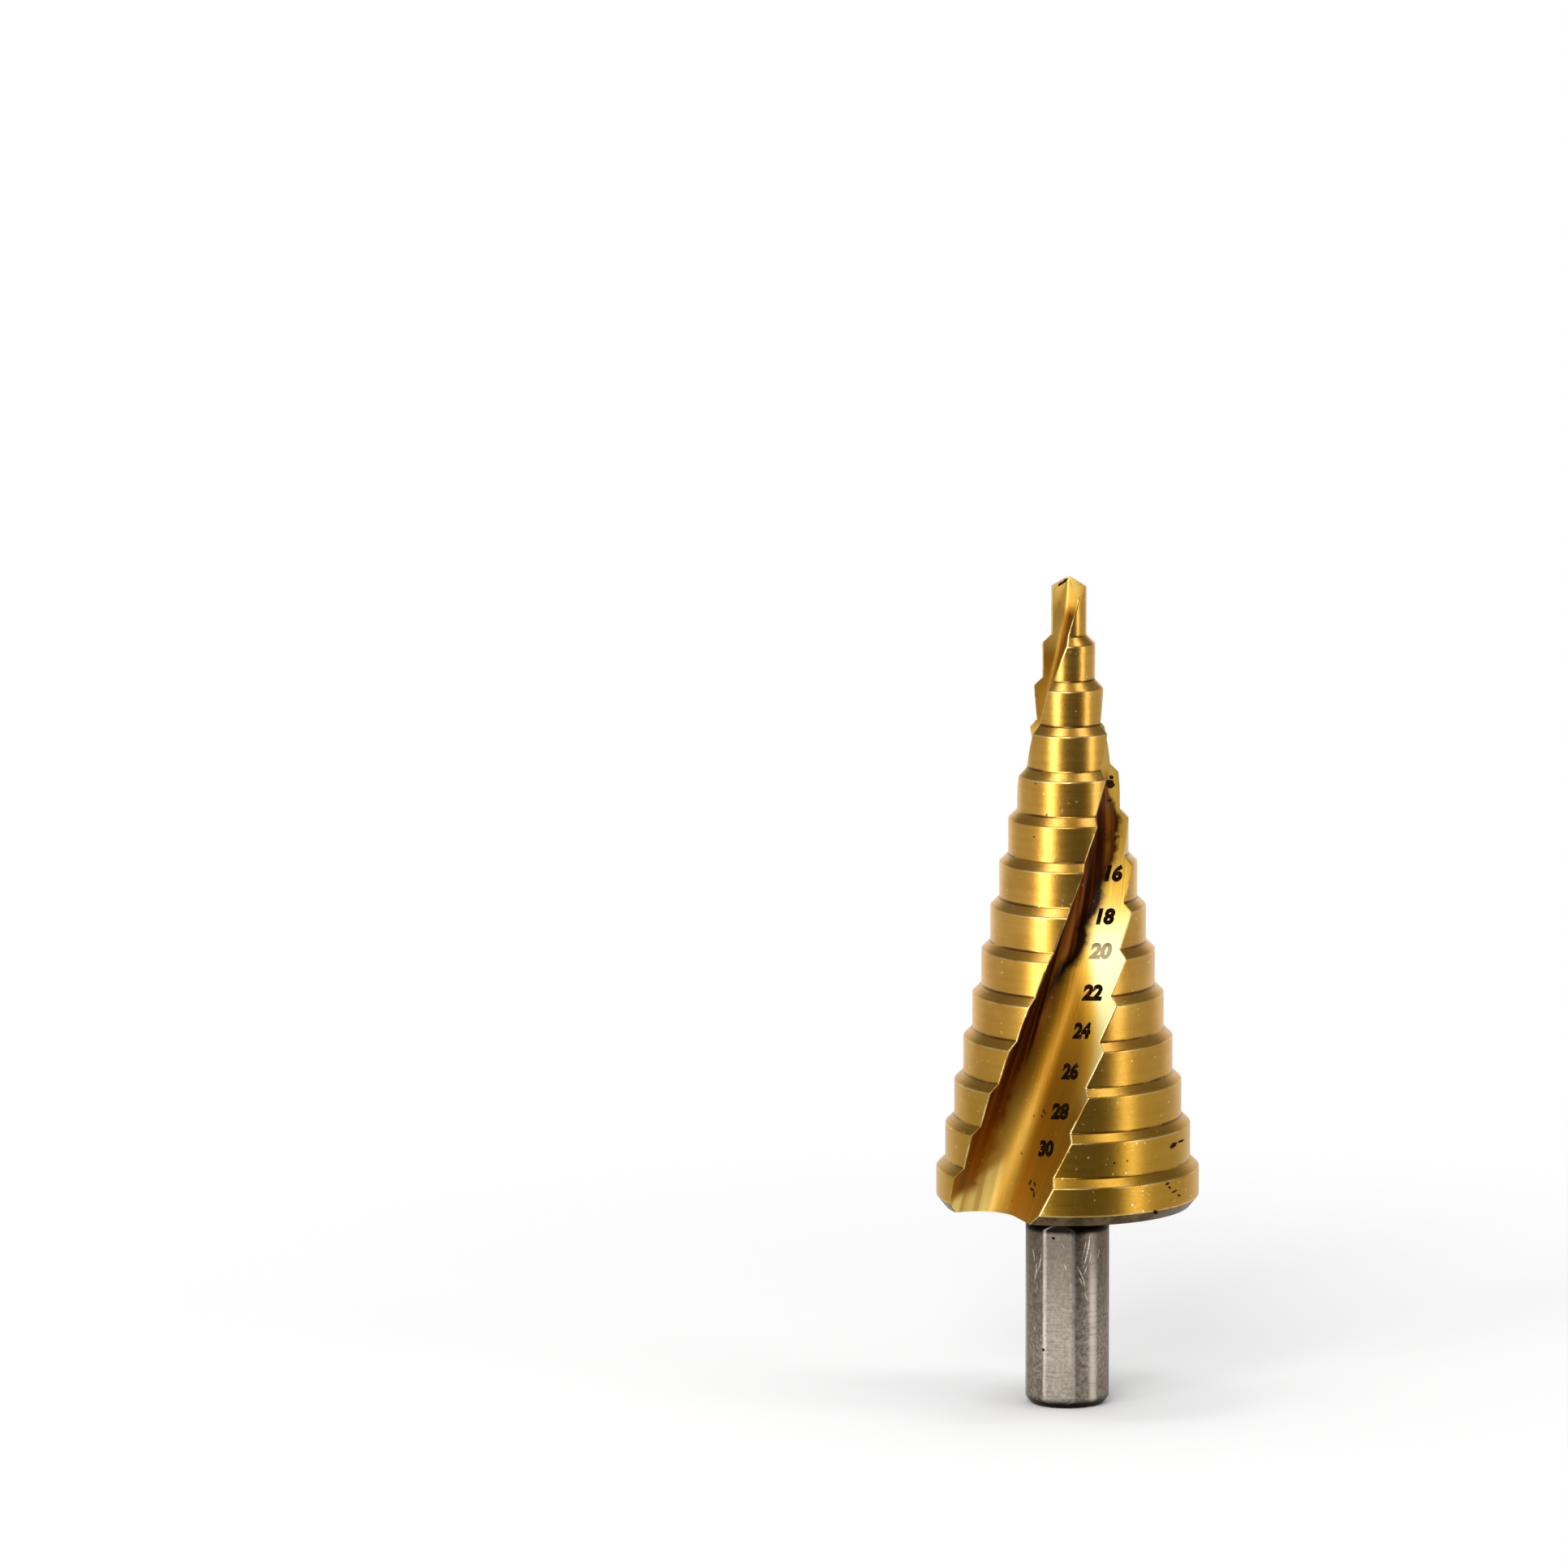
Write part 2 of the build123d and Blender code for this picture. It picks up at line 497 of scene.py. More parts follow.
class Finish:
    """A material: its shader, and what varies over the surface."""

    relief_strength = 0.4
    relief_depth = 0.03 * mm

    def __init__(self, name, metallic=1.0):
        self.material = bpy.data.materials.new(name)
        self.material.use_nodes = True
        self.tree = self.material.node_tree
        self.place = wire(self.tree, "ShaderNodeTexCoord", output="Object")
        self.dress({"Metallic": metallic})

    def up(self):
        """Height over the end of the shank, in millimetres."""
        return parts_of(self.place)[2] / mm

    def carried(self, name, output="Fac"):
        """What the piece carries at each point."""
        return wire(self.tree, "ShaderNodeAttribute", attribute_name=name, output=output)

    def use(self, group, **values):
        """What a group makes in this material, with its own values."""
        named = {name.replace("_", " ").capitalize(): value for name, value in values.items()}
        made = wire(self.tree, "ShaderNodeGroup", named=named, node_tree=group, output="all")
        results = tuple(made.values())
        return results if len(results) > 1 else results[0]

    def dress(self, inputs, relief=None):
        """Sets or links the shader's inputs, with a fine relief as a bump."""
        shader = self.tree.nodes["Principled BSDF"]
        fill(shader, inputs)
        if relief:
            sizes = {"Strength": self.relief_strength, "Distance": self.relief_depth}
            bump = wire(self.tree, "ShaderNodeBump", named={**sizes, "Height": relief})
            fill(shader, {"Normal": bump})


gold = Finish("gold nitride coating")
up = gold.up()
fluted_here = gold.carried("in_flute")
across = gold.carried("flute_place")
grain = gold.carried("grain", "Vector")
fine, broad = gold.use(marks, grain=grain, fineness=9.0, length=14.0, waver=0.05)
worn = gold.use(wear_and_nook_shade, edge=gold.carried("edge_wear"), amount=0.9, patch_size=3.0)
# Painted shade in the nooks at the foot of each step
painted_nook_shade = gold.use(wear_and_nook_shade, edge=gold.carried("nook"), amount=1.7, patch_size=5.0)
bright_specks = gold.use(specked, spacing=0.7, size=0.2, share=0.42)
bright_specks = bright_specks * (1 - 0.85 * fluted_here)
dark_specks = gold.use(specked, spacing=1.3, size=0.13, share=0.2)
cloud = uneven(gold.place, 240.0, 4.0, 0.6)
dust = uneven(gold.place, 5200.0, 2.0, 0.6)
land_colour = laid_over(
    blended(eased(cloud, 0.35, 0.65), (0.7, 0.36, 0.043, 1), (0.8, 0.44, 0.068, 1)),
    (eased(broad, 0.35, 0.7, 0, 0.4), (0.6, 0.29, 0.03, 1)),
    # The widest steps are darker and browner
    (eased(up, 52, 28, 0, 0.66), (0.48, 0.26, 0.019, 1)),
)
# Down the flute, painted sheen lies pale on the heel wall and the foot, and painted highlights
# lie on the root and near the top
pale = eased(up, 40, 56, -0.45, -0.04) - across
painted_sheen_reach = eased(up, 59.5, 52.5) * eased(up, 34.5, 41.5)
painted_root_highlight = eased(across, 0.02, 0.14) * eased(across, 0.44, 0.3) * eased(up, 40, 33, 0, 0.45)
painted_foot_sheen = eased(up, 33, 27) * eased(across, 0.2, 0.3)
painted_foot_sheen = painted_foot_sheen * eased(0.07 * up + across, 2.37, 2.24) * eased(broad, 0.62, 0.38, 0.45, 1)
painted_top_highlight = eased(up, 71, 74.5) * eased(up, 79, 76.5)
# At the point, painted shade lies brown beside the flute's edges and a painted highlight between
# them, with another painted highlight at the very tip
painted_point_highlight = eased(up, 85.5, 89.5) * eased(across, 0.26, 0.42) * eased(across, 1.08, 0.94)
painted_point_shade = eased(up, 86, 88) * eased(across, 0.02, -0.14)
flute_colour = laid_over(
    blended(eased(up, 27, 39), (0.46, 0.22, 0.014, 1), (0.36, 0.165, 0.01, 1)),
    (eased(up, 48, 60), (0.85, 0.52, 0.07, 1)),
    (eased(broad, 0.35, 0.7, 0, 0.3), (0.3, 0.12, 0.008, 1)),
    (eased(fine, 0.46, 0.66, 0, 0.5), (0.22, 0.085, 0.005, 1)),
    # Painted sheen and highlights down the flute
    (eased(pale, -0.24, 0) * painted_sheen_reach, (0.72, 0.4, 0.04, 1)),
    (eased(pale, -0.1, 0.1) * painted_sheen_reach, (0.95, 0.87, 0.42, 1)),
    (painted_root_highlight, (0.58, 0.35, 0.06, 1)),
    (painted_foot_sheen, (0.86, 0.62, 0.17, 1)),
    (painted_top_highlight, (0.85, 0.55, 0.13, 1)),
    (eased(up, 76.5, 79), (0.35, 0.165, 0.014, 1)),
    (painted_point_highlight, (0.97, 0.66, 0.16, 1)),
    (painted_point_shade, (0.12, 0.045, 0.003, 1)),
    # Painted highlight at the very tip
    (eased(up, 90.5, 92.5), (0.95, 0.64, 0.16, 1)),
)
# Painted shade: a dark brown reflection fills the narrow part of the flute, darkest along its
# ragged border
ragged = eased(cloud, 0.3, 0.7, -0.5, 0.5) * eased(up, 60, 66, 0.1, 0.28)
past_border = ragged + 0.06 + across - eased(up, 36, 70, 0.43, -0.26)
painted_flute_shade = eased(past_border, -0.05, 0.09) * eased(up, 73.5, 70.5)
painted_flute_shade = painted_flute_shade * eased(up + 4 * across, 26.2, 28.5) * fluted_here
painted_shade_border = eased(past_border, 0.26, 0.1) * eased(up, 44, 51) * eased(up, 68, 58, 0.3, 1)
streaked = eased(up, 30, 46, 0.3, 1)
painted_flute_shade_colour = laid_over(
    blended(eased(up, 27, 43), (0.27, 0.098, 0.004, 1), (0.13, 0.026, 0.001, 1)),
    (eased(broad, 0.46, 0.6, 0, 0.75) * streaked, (0.3, 0.105, 0.01, 1)),
    (eased(broad, 0.5, 0.36, 0, 0.85) * streaked, (0.02, 0.005, 0.001, 1)),
    (painted_shade_border, (0.014, 0.004, 0.001, 1)),
)
gold_colour = laid_over(
    land_colour,
    (fluted_here, flute_colour),
    (painted_flute_shade, painted_flute_shade_colour),
    (painted_nook_shade, (0.2, 0.09, 0.014, 1)),
    (worn, (0.95, 0.75, 0.36, 1)),
    (bright_specks, (0.92, 0.7, 0.34, 1)),
    (dark_specks, (0.16, 0.08, 0.02, 1)),
)
# A film of oil from the drill's packing, thin in the flutes
oil = worked("MAXIMUM", eased(up, 28, 62, 0.12, 0.5) - 0.55 * fluted_here, 0.1)
gold.dress(
    {
        "Base Color": gold_colour,
        "Roughness": 0.17 + 0.16 * fine + 0.1 * dust + 0.22 * fluted_here,
        "Specular Tint": (0.96, 0.89, 0.74, 1),
        "Coat Weight": oil,
        "Coat Roughness": 0.22,
    },
    relief=fine - bright_specks - 1.5 * dark_specks + 0.5 * dust,
)

bare = Finish("ground steel back chamfer")
grain = bare.carried("grain", "Vector")
fine, broad = bare.use(marks, grain=grain, fineness=7.0, length=10.0, waver=0.1)
cloud = eased(uneven(bare.place, 420.0, 5.0, 0.65), 0.4, 0.62)
bare.dress(
    {
        "Base Color": blended(cloud, (0.05, 0.032, 0.012, 1), (0.125, 0.085, 0.037, 1)),
        "Roughness": 0.28 + 0.2 * fine,
    },
    relief=fine,
)


def baked(piece):
    """The plain mesh that a piece's modifiers make, with the modifiers taken off."""
    bpy.context.view_layer.update()
    seen = piece.evaluated_get(bpy.context.evaluated_depsgraph_get())
    mesh = bpy.data.meshes.new_from_object(seen)
    piece.modifiers.clear()
    piece.data = mesh
    return mesh


def made_by(group, name, mesh, values):
    """A piece that a group of nodes makes from a mesh, with the group's inputs set."""
    piece = bpy.data.objects.new(name, mesh)
    bpy.context.scene.collection.objects.link(piece)
    modifier = piece.modifiers.new(group.name, "NODES")
    modifier.node_group = group
    for socket in group.interface.items_tree:
        if socket.in_out == "INPUT" and socket.name in values:
            modifier[socket.identifier] = values[socket.name]
    baked(piece)
    return piece


finishes = {"Coated": gold.material, "Bare": bare.material}
drill = made_by(fluting, "step_drill_dressed", blank, {**flute_sizes, **finishes})

# ---------------------------------------------------------------------------
# Point and back face. The point is ground to 118 degrees, each lip with a
# clearance facet behind it and a steeper one off its heel. The back face is
# turned flat, and the flutes run out through it.
# ---------------------------------------------------------------------------
lip_clearance = radians(12)
heel_fall = radians(-31)
heel_clearance = radians(55)
point_turn = (point_height - lip_corner_height) / flute_sizes["Flute lead"] * 2 * pi
lip_turn = flute_sizes["Lip azimuth"] - point_turn
weld_distance = 0.002 * mm
coated_slot, bare_slot, steel_slot = range(3)


def welded(shell):
    """Welds a shell's doubled corners and cuts its large faces into triangles."""
    bmesh.ops.remove_doubles(shell, verts=shell.verts[:], dist=weld_distance)
    bmesh.ops.triangulate(shell, faces=[face for face in shell.faces if len(face.verts) > 4])


solid = bmesh.new()
solid.from_mesh(drill.data)
solid.verts.ensure_lookup_table()
back_ring = [solid.verts[number] for number in range(count_round)]
point_ring = [solid.verts[number - count_round] for number in range(count_round)]
solid.faces.new(back_ring[::-1]).material_index = bare_slot
solid.faces.new(point_ring).material_index = coated_slot
for number in range(2):
    for fall, clearance in ((lip_fall, lip_clearance), (heel_fall, heel_clearance)):
        facing_out = Vector((tan(fall), -tan(clearance), 1))
        facing_out.rotate(Matrix.Rotation(lip_turn + number * pi, 3, "Z"))
        bmesh.ops.bisect_plane(
            solid,
            geom=solid.verts[:] + solid.edges[:] + solid.faces[:],
            plane_co=(0, 0, point_height),
            plane_no=facing_out,
            clear_outer=True,
        )
        rim = [edge for edge in solid.edges if edge.is_boundary]
        for face in bmesh.ops.edgeloop_fill(solid, edges=rim)["faces"]:
            face.material_index = coated_slot
welded(solid)

# ---------------------------------------------------------------------------
# Shank and neck. The back of the bar is ground to 9.5 mm for a drill chuck,
# with three flats for its jaws, a chamfer on the end and a narrower neck under
# the cone. It is bare steel, and has been gripped.
# ---------------------------------------------------------------------------
shank_radius = 4.75 * mm
shank_height = 20.6 * mm
flat_distance = shank_radius - 0.33 * mm
flat_azimuths = (radians(-103), radians(17), radians(137))
neck_radius = 4.15 * mm
neck_foot = 22.2 * mm
neck_overlap = 0.05 * mm
neck_hollow = 0.1 * mm
chamfer_radius = 4.0 * mm
chamfer_top = 0.9 * mm
chamfer_bulge = 0.04 * mm
shank_rings = 24
chamfer_rings, taper_rings = 6, 8
flat_columns, round_columns = 10, 26
flat_kind, round_kind = 5.0, 3.0
# Where the painted highlight line runs down the round part of the shank
highlight_line_azimuth = radians(-52.4)


def bowed(start, end, bulge, count):
    """Points on a line from start to end that bows out by a little at its middle."""
    points = []
    dr, dz = end[0] - start[0], end[1] - start[1]
    length = sqrt(dr * dr + dz * dz)
    for number in range(count + 1):
        share = number / count
        out = 4 * share * (1 - share) * bulge / length
        points.append((start[0] + dr * share + dz * out, start[1] + dz * share - dr * out))
    return points


shank_profile = [
    *bowed((chamfer_radius, 0), (shank_radius, chamfer_top), chamfer_bulge, chamfer_rings),
    (shank_radius, chamfer_top + 0.1 * mm),
    *((shank_radius, shank_height * ring / shank_rings) for ring in range(2, shank_rings)),
    *bowed((shank_radius, shank_height), (neck_radius, neck_foot), -neck_hollow, taper_rings),
    (neck_radius, cone_bottom + neck_overlap),
]
shank = bmesh.new()
edge_layer = shank.verts.layers.float.new("edge_wear")
grain_layer = shank.verts.layers.float_vector.new("grain")
flat_layer = shank.verts.layers.float.new("on_flat")
grid = []
for radius, height in shank_profile:
    flat_half = acos(min(1.0, flat_distance / radius))
    row = []
    for middle in flat_azimuths:
        for number in range(flat_columns + round_columns):
            past_flat = number - flat_columns
            if past_flat < 0:
                turn = flat_half * (2 * number / flat_columns - 1)
                reach = min(radius, flat_distance / cos(turn))
            else:
                turn = flat_half + (2 * pi / 3 - 2 * flat_half) * past_flat / round_columns
                reach = radius
            angle = middle + turn
            vert = shank.verts.new((reach * cos(angle), reach * sin(angle), height))
            on_flat = past_flat <= 0 and radius > flat_distance
            vert[edge_layer] = float(on_flat and number in (0, flat_columns))
            kind = flat_kind if on_flat else round_kind
            vert[grain_layer] = (height / mm, shank_radius / mm * angle, kind)
            vert[flat_layer] = float(on_flat)
            row.append(vert)
    grid.append(row)
for lower, upper in zip(grid, grid[1:]):
    for number in range(len(lower)):
        beside = (number + 1) % len(lower)
        shank.faces.new((lower[number], lower[beside], upper[beside], upper[number]))
shank.faces.new(grid[0][::-1])
shank.faces.new(grid[-1])
welded(shank)
for face in shank.faces:
    face.material_index = steel_slot
shank_mesh = bpy.data.meshes.new("shank")
shank.to_mesh(shank_mesh)
solid.verts.layers.float.new("on_flat")
solid.from_mesh(shank_mesh)

steel = Finish("ground steel shank")
up = steel.up()
grain = steel.carried("grain", "Vector")
fine, broad = steel.use(marks, grain=grain, fineness=5.0, length=8.0, waver=0.4)
worn = steel.use(wear_and_nook_shade, edge=steel.carried("edge_wear"), amount=0.25, patch_size=4.0)
pits = steel.use(specked, spacing=1.4, size=0.14, share=0.18)
mottle = uneven(steel.place, 2300.0, 5.0, 0.7)
stain = uneven(steel.place, 170.0, 3.0)
spotted = eased(mottle, 0.36, 0.64)
# Painted light: the flats are painted lighter, as lit, and the round parts darker, as shaded
painted_lit_flat_colour = blended(spotted, (0.31, 0.27, 0.22, 1), (0.46, 0.41, 0.345, 1))
painted_shaded_round_colour = blended(spotted, (0.15, 0.125, 0.096, 1), (0.37, 0.32, 0.26, 1))
# A painted highlight: a pale line down the round part of the shank, repeated at three places
# round it
highlight_line_spacing = 2 * pi / 3 * shank_radius / mm
past_highlight_line = parts_of(grain)[1] - highlight_line_azimuth * shank_radius / mm
to_highlight_line = worked("ABSOLUTE", worked("WRAP", past_highlight_line, highlight_line_spacing / 2, -highlight_line_spacing / 2))
painted_highlight_line = eased(to_highlight_line, 0.8, 0.1) * eased(fine, 0.2, 0.5) * eased(up, 19.5, 12, 0.25, 1)
# Painted shadow at the top of the neck, under the cone, and the end chamfer darker
painted_neck_shadow_and_dark_chamfer = worked("MAXIMUM", eased(up, 1.3, 0.5) * eased(up, 0.02, 0.1), eased(up, 20, 20.5))
steel_colour = laid_over(
    blended(steel.carried("on_flat"), painted_shaded_round_colour, painted_lit_flat_colour),
    (eased(stain, 0.45, 0.75, 0, 0.4), (0.19, 0.165, 0.135, 1)),
    # Painted shade: it is darker and browner towards the cone, under its overhang
    (eased(up, 7, 19.5, 0, 0.62), (0.12, 0.092, 0.058, 1)),
    (painted_highlight_line, (0.62, 0.55, 0.47, 1)),
    (eased(fine, 0.5, 0.64, 0, 0.55), (0.17, 0.14, 0.105, 1)),
    (painted_neck_shadow_and_dark_chamfer, (0.014, 0.011, 0.008, 1)),
    (worn, (0.7, 0.67, 0.62, 1)),
    (pits, (0.05, 0.045, 0.04, 1)),
)
steel.dress(
    {
        "Base Color": steel_colour,
        "Roughness": 0.2 + 0.25 * mottle + 0.12 * fine,
        "Specular Tint": (0.8, 0.77, 0.72, 1),
    },
    relief=mottle - 1.5 * pits + 0.7 * fine,
)

# Cone and shank are one bar of steel, and so one piece
drill_mesh = bpy.data.meshes.new("step_drill_dressed")
solid.to_mesh(drill_mesh)
solid.free()
shank.free()
for finish in (gold, bare, steel):
    drill_mesh.materials.append(finish.material)
drill_mesh.shade_smooth()
drill_mesh.set_sharp_from_angle(angle=radians(50))
drill.data = drill_mesh
weighted = drill.modifiers.new("flat faces stay flat", "WEIGHTED_NORMAL")
weighted.keep_sharp = True
weighted.weight = 100
baked(drill)
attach(drill, "root")
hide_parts("step_drill")

# ---------------------------------------------------------------------------
# Size marks. The diameter of each larger step, in millimetres, is marked in
# black on the heel wall beside it, one under the other down the flute.
# ---------------------------------------------------------------------------
view_drop = radians(10)
mark_height = 1.6 * mm
mark_slant = 0.25
stroke_growth = 0.14 * mm
figure_share = 0.7
mark_lift = 0.012 * mm
mark_divisions = 2
laid_from = 25 * mm
# Number, how far right of the axis and how far up as they are read, in millimetres, and
# how wide for their height
mark_places = (
    ("16", 4.8, 59.95, 0.95),
    ("18", 3.85, 55.1, 0.95),
    ("20", 3.45, 51.2, 1.0),
    ("22", 2.55, 46.5, 0.92),
    ("24", 1.35, 42.2, 0.78),
    ("26", 0.05, 37.6, 0.74),
    ("28", -1.12, 33.1, 0.78),
    ("30", -2.7, 28.9, 0.68),
)
ink = Finish("etched black", metallic=0.0)
up = ink.up()
thin = uneven(ink.place, 2600.0, 3.0)
broken = uneven(ink.place, 2100.0, 3.0, 0.6)
# The 20 is painted pale and faint, as if washed out by glare, and the others are broken here and
# there
painted_glare = eased(up, 50.2, 51) * eased(up, 54.5, 53.5)
ink_colour = blended(eased(thin, 0.5, 0.8), (0.006, 0.003, 0.001, 1), (0.04, 0.02, 0.008, 1))
ink.dress(
    {
        "Base Color": blended(painted_glare, ink_colour, (0.3, 0.22, 0.13, 1)),
        "Roughness": eased(thin, 0.3, 0.7, 0.55, 0.8),
        "Specular IOR Level": 0.0,
        "Alpha": eased(broken, 0.24, 0.36) * (1 - 0.35 * painted_glare),
    }
)

laying, asked, laid_out = new_group(
    "laid on the drill",
    "GeometryNodeTree",
    {
        "Geometry": "Geometry",
        "Drill": "Object",
        "Towards drill": "Vector",
        "Lift": "Float",
        "Finish": "Material",
    },
    {"Geometry": "Geometry"},
)
finer = wire(laying, "GeometryNodeSubdivideMesh", asked["Geometry"], mark_divisions)
surface = wire(laying, "GeometryNodeObjectInfo", asked["Drill"], output="Geometry")
ray = {
    "Target Geometry": surface,
    "Ray Direction": asked["Towards drill"],
    "Ray Length": 1.0,
}
hit = wire(laying, "GeometryNodeRaycast", named=ray, output="all")
lift = {"Scale": asked["Lift"]}
raised = wire(laying, "ShaderNodeVectorMath", hit["Hit Normal"], named=lift, operation="SCALE")
laid = wire(laying, "ShaderNodeVectorMath", hit["Hit Position"], raised, operation="ADD")
moved = wire(laying, "GeometryNodeSetPosition", finer, named={"Position": laid})
whole = wire(laying, "GeometryNodeRealizeInstances", moved)
fill(laid_out, {0: wire(laying, "GeometryNodeSetMaterial", whole, None, asked["Finish"])})


def lay_on_drill(name, flat_shapes, finish):
    """A piece made of flat shapes, right and up as they are read, pressed onto the drill."""
    bmesh.ops.triangulate(flat_shapes, faces=flat_shapes.faces[:])
    flat_mesh = bpy.data.meshes.new(name)
    flat_shapes.to_mesh(flat_mesh)
    flat_shapes.free()
    in_front = Matrix.Translation((0, 0, laid_from))
    flat_mesh.transform(Matrix.Rotation(pi / 2 - view_drop, 4, "X") @ in_front)
    values = {
        "Drill": drill,
        "Towards drill": (0.0, cos(view_drop), -sin(view_drop)),
        "Lift": mark_lift,
        "Finish": finish.material,
    }
    piece = made_by(laying, name, flat_mesh, values)
    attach(piece, "root")


flat_marks = bmesh.new()
for number, right, height, breadth in mark_places:
    letters = bpy.data.curves.new("mark " + number, "FONT")
    letters.body = number
    letters.size = mark_height / figure_share
    letters.shear = mark_slant
    letters.offset = stroke_growth
    letters.align_x, letters.align_y = "CENTER", "CENTER"
    letters.resolution_u = 4
    writing = bpy.data.objects.new("mark " + number, letters)
    outline = bpy.data.meshes.new_from_object(writing)
    narrowed = Matrix.Diagonal((breadth, 1, 1, 1))
    outline.transform(Matrix.Translation((right * mm, height * mm, 0)) @ narrowed)
    flat_marks.from_mesh(outline)
    bpy.data.objects.remove(writing)
lay_on_drill("size_marks", flat_marks, ink)

# ---------------------------------------------------------------------------
# Stains. Dried drops and scorched swarf, dark and flat, stick to the lands,
# the flute, the shank and the place of a mark that has worn away. A dark
# patch at the point is painted shade on its clearance facet.
# ---------------------------------------------------------------------------
rim_points = 14
patch_reach = 0.6 * mm
# Waves round a stain's rim: how many, how they shift from one stain to the next, how deep
rim_waves = ((2, 1.7, 0.22), (5, 2.9, 0.12))
# How far right of the axis and how far up, length, width, in millimetres, and lean in degrees
patch_places = (
    (11.85, 29.3, 0.75, 0.42, 25),
    (12.75, 29.75, 0.55, 0.25, 20),
    (11.15, 25.0, 0.4, 0.25, 60),
    (11.4, 24.55, 0.35, 0.2, 110),
    (11.95, 24.1, 0.5, 0.2, 20),
    (12.5, 23.65, 0.3, 0.22, 0),
    (9.8, 21.8, 0.5, 0.38, 10),
    (5.1, 27.4, 0.22, 0.2, 0),
    (-2.75, 33.1, 0.45, 0.2, 120),
    (-3.0, 32.6, 0.3, 0.15, 120),
    (4.7, 70.15, 1.0, 0.7, 10),
    # At the point, a dark patch painted as shade on the clearance facet
    (-0.68, 92.94, 1.2, 0.3, 30),
    (3.95, 64.3, 0.4, 0.25, 40),
    (4.6, 68.3, 0.5, 0.25, 20),
    (4.85, 70.9, 0.5, 0.35, 90),
    (3.75, 64.95, 0.6, 0.4, 120),
    (-4.35, 25.15, 0.5, 0.2, 70),
    (-3.85, 24.95, 0.45, 0.2, 110),
    (-4.15, 24.35, 0.45, 0.22, 130),
    (-3.95, 23.8, 0.5, 0.2, 80),
    (-1.65, 18.7, 0.3, 0.26, 0),
    (-2.75, 6.0, 0.3, 0.26, 0),
)
scorch_and_shade = Finish("scorched swarf", metallic=0.0)
crust = uneven(scorch_and_shade.place, 4200.0, 4.0)
scorch_and_shade.dress(
    {
        "Base Color": blended(
            eased(crust, 0.4, 0.7), (0.006, 0.004, 0.003, 1), (0.07, 0.03, 0.01, 1)
        ),
        "Roughness": eased(crust, 0.3, 0.7, 0.35, 0.7),
        "Specular IOR Level": 0.0,
        "Alpha": eased(crust, 0.26, 0.34),
    }
)
flat_patches = bmesh.new()
for number, (right, height, long, breadth, leaning_by) in enumerate(patch_places):
    rim = []
    for point in range(rim_points):
        turn = 2 * pi * point / rim_points
        waves = [depth * sin(count * turn + shift * number) for count, shift, depth in rim_waves]
        spot = Vector((cos(turn) * long, sin(turn) * breadth, 0)) * (1 + sum(waves)) * patch_reach
        spot.rotate(Matrix.Rotation(radians(leaning_by), 3, "Z"))
        rim.append(flat_patches.verts.new(spot + Vector((right, height, 0)) * mm))
    flat_patches.faces.new(rim)
lay_on_drill("stains", flat_patches, scorch_and_shade)

# ---------------------------------------------------------------------------
# Scratches. A chuck's jaws have cut short bright scratches into the shank,
# most of them crossing each other in pairs just below the cone.
# ---------------------------------------------------------------------------
# From and to, right of the axis and up as they are read, and width, in millimetres
scratch_places = (
    (2.5, 19.2, 1.6, 15.0, 0.15),
    (2.05, 18.6, 1.45, 16.0, 0.09),
    (0.95, 15.6, 2.0, 12.9, 0.16),
    (1.2, 14.3, 1.6, 13.2, 0.1),
    (2.1, 15.6, 1.7, 14.5, 0.1),
    (2.6, 17.2, 2.35, 15.8, 0.07),
    (1.75, 12.6, 2.2, 11.5, 0.08),
    (-3.0, 17.0, -3.55, 14.5, 0.12),
    (-3.55, 15.9, -3.85, 13.6, 0.14),
    (-4.05, 17.6, -3.75, 15.9, 0.09),
    (-3.4, 13.6, -3.65, 12.5, 0.08),
    (-0.5, 15.8, -0.15, 14.9, 0.08),
    (-0.65, 18.0, -0.45, 17.5, 0.06),
    (3.55, 17.5, 3.25, 16.2, 0.07),
    (-3.9, 8.7, -3.6, 7.9, 0.08),
    (2.9, 9.4, 3.05, 8.6, 0.08),
)
scratch_reach = 0.6
scratch_bow = 1.5
scratch_taper = 0.8
cut_bright = Finish("bright scratches")
ridges = uneven(cut_bright.place, 5200.0, 3.0)
cut_bright.dress(
    {
        "Base Color": blended(
            eased(ridges, 0.35, 0.65), (0.5, 0.45, 0.38, 1), (0.78, 0.72, 0.64, 1)
        ),
        "Roughness": eased(ridges, 0.3, 0.7, 0.25, 0.5),
        "Alpha": eased(ridges, 0.34, 0.46, 0.25, 0.9),
    }
)
flat_scratches = bmesh.new()
for right, height, right_end, height_end, breadth in scratch_places:
    start, end = Vector((right, height, 0)), Vector((right_end, height_end, 0))
    along_it = end - start
    beside_it = Vector((-along_it.y, along_it.x, 0)).normalized() * breadth * scratch_reach
    near, far = (start.lerp(end, share) + beside_it * scratch_bow for share in (0.3, 0.7))
    rim = [start, near + beside_it, far + beside_it * scratch_taper]
    rim += [end, far - beside_it * scratch_taper, near - beside_it]
    flat_scratches.faces.new([flat_scratches.verts.new(spot * mm) for spot in rim])
lay_on_drill("jaw_scratches", flat_scratches, cut_bright)

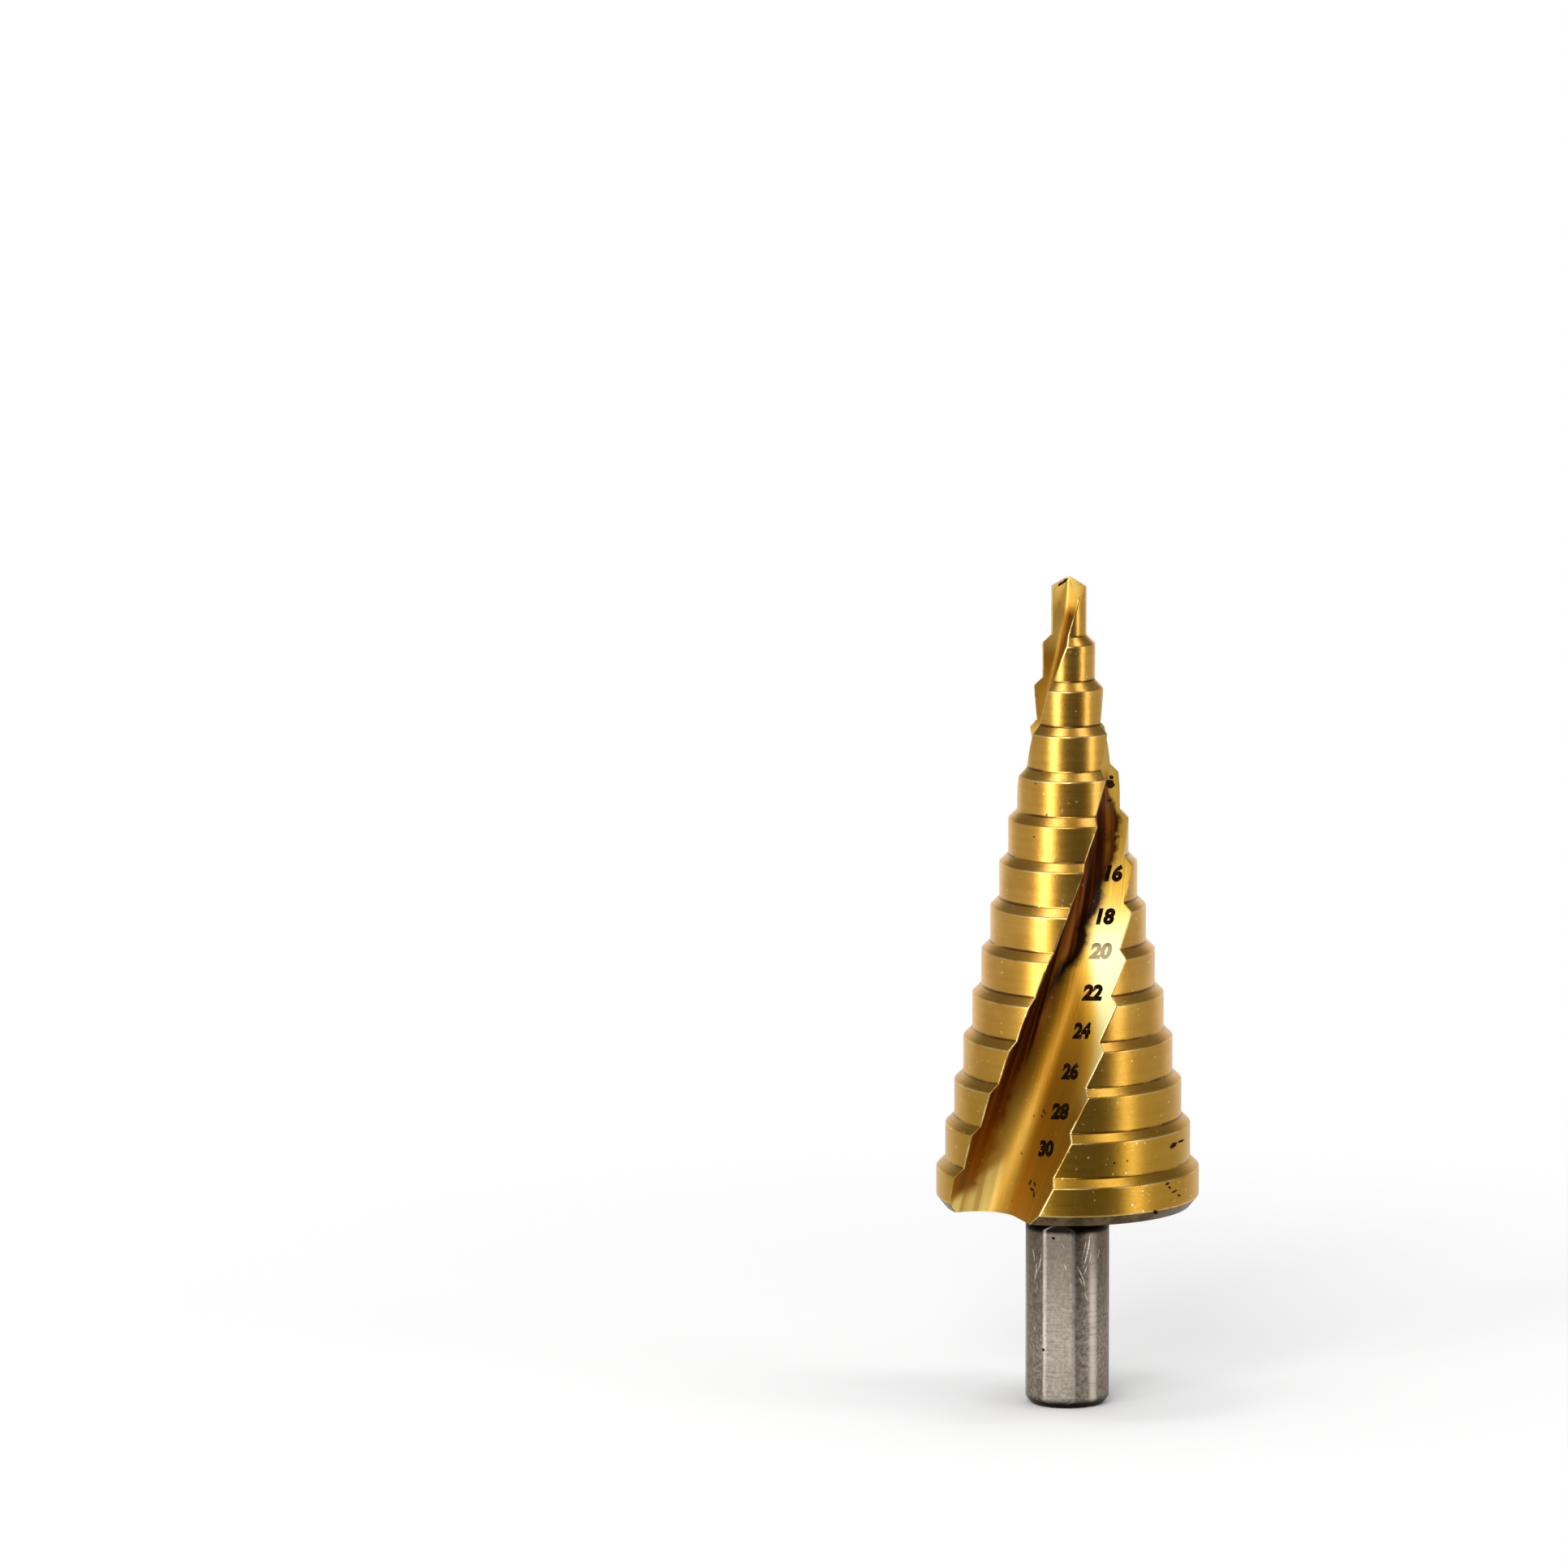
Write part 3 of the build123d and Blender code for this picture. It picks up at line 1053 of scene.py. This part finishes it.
# ---------------------------------------------------------------------------
# Floor. A plain pale sheet, which fades into the white around it and takes
# the drill's shadow.
# ---------------------------------------------------------------------------
floor_reach = 1.2
paper_middle = -35 * mm
full_reach, faded_reach = 35 * mm, 130 * mm
floor_turns = [2 * pi * number / 3 for number in range(3)]
floor_mesh = bpy.data.meshes.new("floor")
floor_mesh.from_pydata(
    [(floor_reach * sin(turn), -floor_reach * cos(turn), 0) for turn in floor_turns],
    [],
    [(0, 1, 2)],
)
floor = bpy.data.objects.new("floor", floor_mesh)
bpy.context.scene.collection.objects.link(floor)
paper = Finish("pale paper", metallic=0.0)
paper.dress(
    {"Base Color": (0.88, 0.88, 0.88, 1), "Roughness": 0.9, "Specular IOR Level": 0.1}
)
tree = paper.tree
shift = (0.0, paper_middle, 0.0)
from_middle = wire(tree, "ShaderNodeVectorMath", paper.place, shift, operation="ADD")
away = wire(tree, "ShaderNodeVectorMath", from_middle, operation="LENGTH", output="Value")
sheet = Result(tree.nodes["Principled BSDF"].outputs[0])
nothing = wire(tree, "ShaderNodeBsdfTransparent")
faded = eased(away, full_reach, faded_reach)
fading = wire(tree, "ShaderNodeMixShader", faded, sheet, nothing)
fill(tree.nodes["Material Output"], {"Surface": fading})
floor_mesh.materials.append(paper.material)

# ---------------------------------------------------------------------------
# Light and camera. White paper behind the drill and a dimmer room in front of
# it, one wide softbox on the left and a narrow one on the right, and a long
# lens that looks a little down on the drill.
# ---------------------------------------------------------------------------
paper_level = 1.0
above_level = 0.17
side_level = 0.5
front_level = 0.055
through_level = 0.7
front_azimuth = radians(16)
front_drop = -0.08
front_edge, front_core = radians(54), radians(29)
world = bpy.data.worlds.new("studio")
bpy.context.scene.world = world
world.use_nodes = True
tree = world.node_tree
direction = wire(tree, "ShaderNodeTexCoord", output="Generated")
to_right, to_back, to_top = parts_of(direction)
front_middle = (sin(front_azimuth), -cos(front_azimuth), front_drop)
to_front = wire(
    tree,
    "ShaderNodeVectorMath",
    direction,
    front_middle,
    operation="DOT_PRODUCT",
    output="Value",
)
room = eased(to_front, cos(front_edge), cos(front_core), side_level, front_level)
room = eased(to_back, 0.45, 0.95, room, paper_level)
room = eased(to_top, 0.2, 0.5, room, above_level)
rays = wire(tree, "ShaderNodeLightPath", output="all")
shown = rays["Is Glossy Ray"] + rays["Is Transmission Ray"]
level = wire(tree, "ShaderNodeMix", shown, None, through_level, room)
level = wire(tree, "ShaderNodeMix", rays["Is Camera Ray"], None, level, paper_level)
fill(tree.nodes["Background"], {"Color": (1, 1, 1, 1), "Strength": level})


def aimed(middle, back, distance):
    """Place and turn of what looks at a middle, from this far back."""
    turned = (-back).to_track_quat("-Z", "Y").to_matrix().to_4x4()
    return Matrix.Translation(middle + back * distance) @ turned


lit_middle = Vector((0, 0, 0.05))
# Softboxes: degrees right of the camera's side, degrees up, distance, width, height, power
for name, to_the_right, climb, distance, width, tall, power in (
    ("wide softbox", -42, 4, 0.9, 0.24, 0.9, 4.0),
    ("narrow softbox", 60, 4, 0.9, 0.12, 0.8, 1.4),
    ("light over the camera", -14, 31, 1.0, 0.42, 0.3, 4.0),
    ("left top light", -68, 74, 1.0, 0.2, 0.25, 1.1),
    ("right top light", 78, 66, 1.0, 0.15, 0.3, 0.8),
):
    lamp = bpy.data.lights.new(name, "AREA")
    lamp.shape, lamp.size, lamp.size_y = "RECTANGLE", width, tall
    lamp.energy = power
    holder = bpy.data.objects.new(name, lamp)
    turn, rise = radians(to_the_right), radians(climb)
    out = Vector((sin(turn) * cos(rise), -cos(turn) * cos(rise), sin(rise)))
    holder.matrix_world = aimed(lit_middle, out, distance)
    bpy.context.scene.collection.objects.link(holder)

view_distance = 2.4618
view_middle = Vector((-0.03216, 0, 0.07123))
lens = bpy.data.cameras.new("long lens")
lens.lens = 500
lens.sensor_width = 36
lens.clip_start = 0.1
lens.clip_end = 50
camera = bpy.data.objects.new("camera", lens)
back = Vector((0, -cos(view_drop), sin(view_drop)))
camera.matrix_world = aimed(view_middle, back, view_distance)
bpy.context.scene.collection.objects.link(camera)
bpy.context.scene.camera = camera
bpy.context.scene.view_settings.view_transform = "Standard"
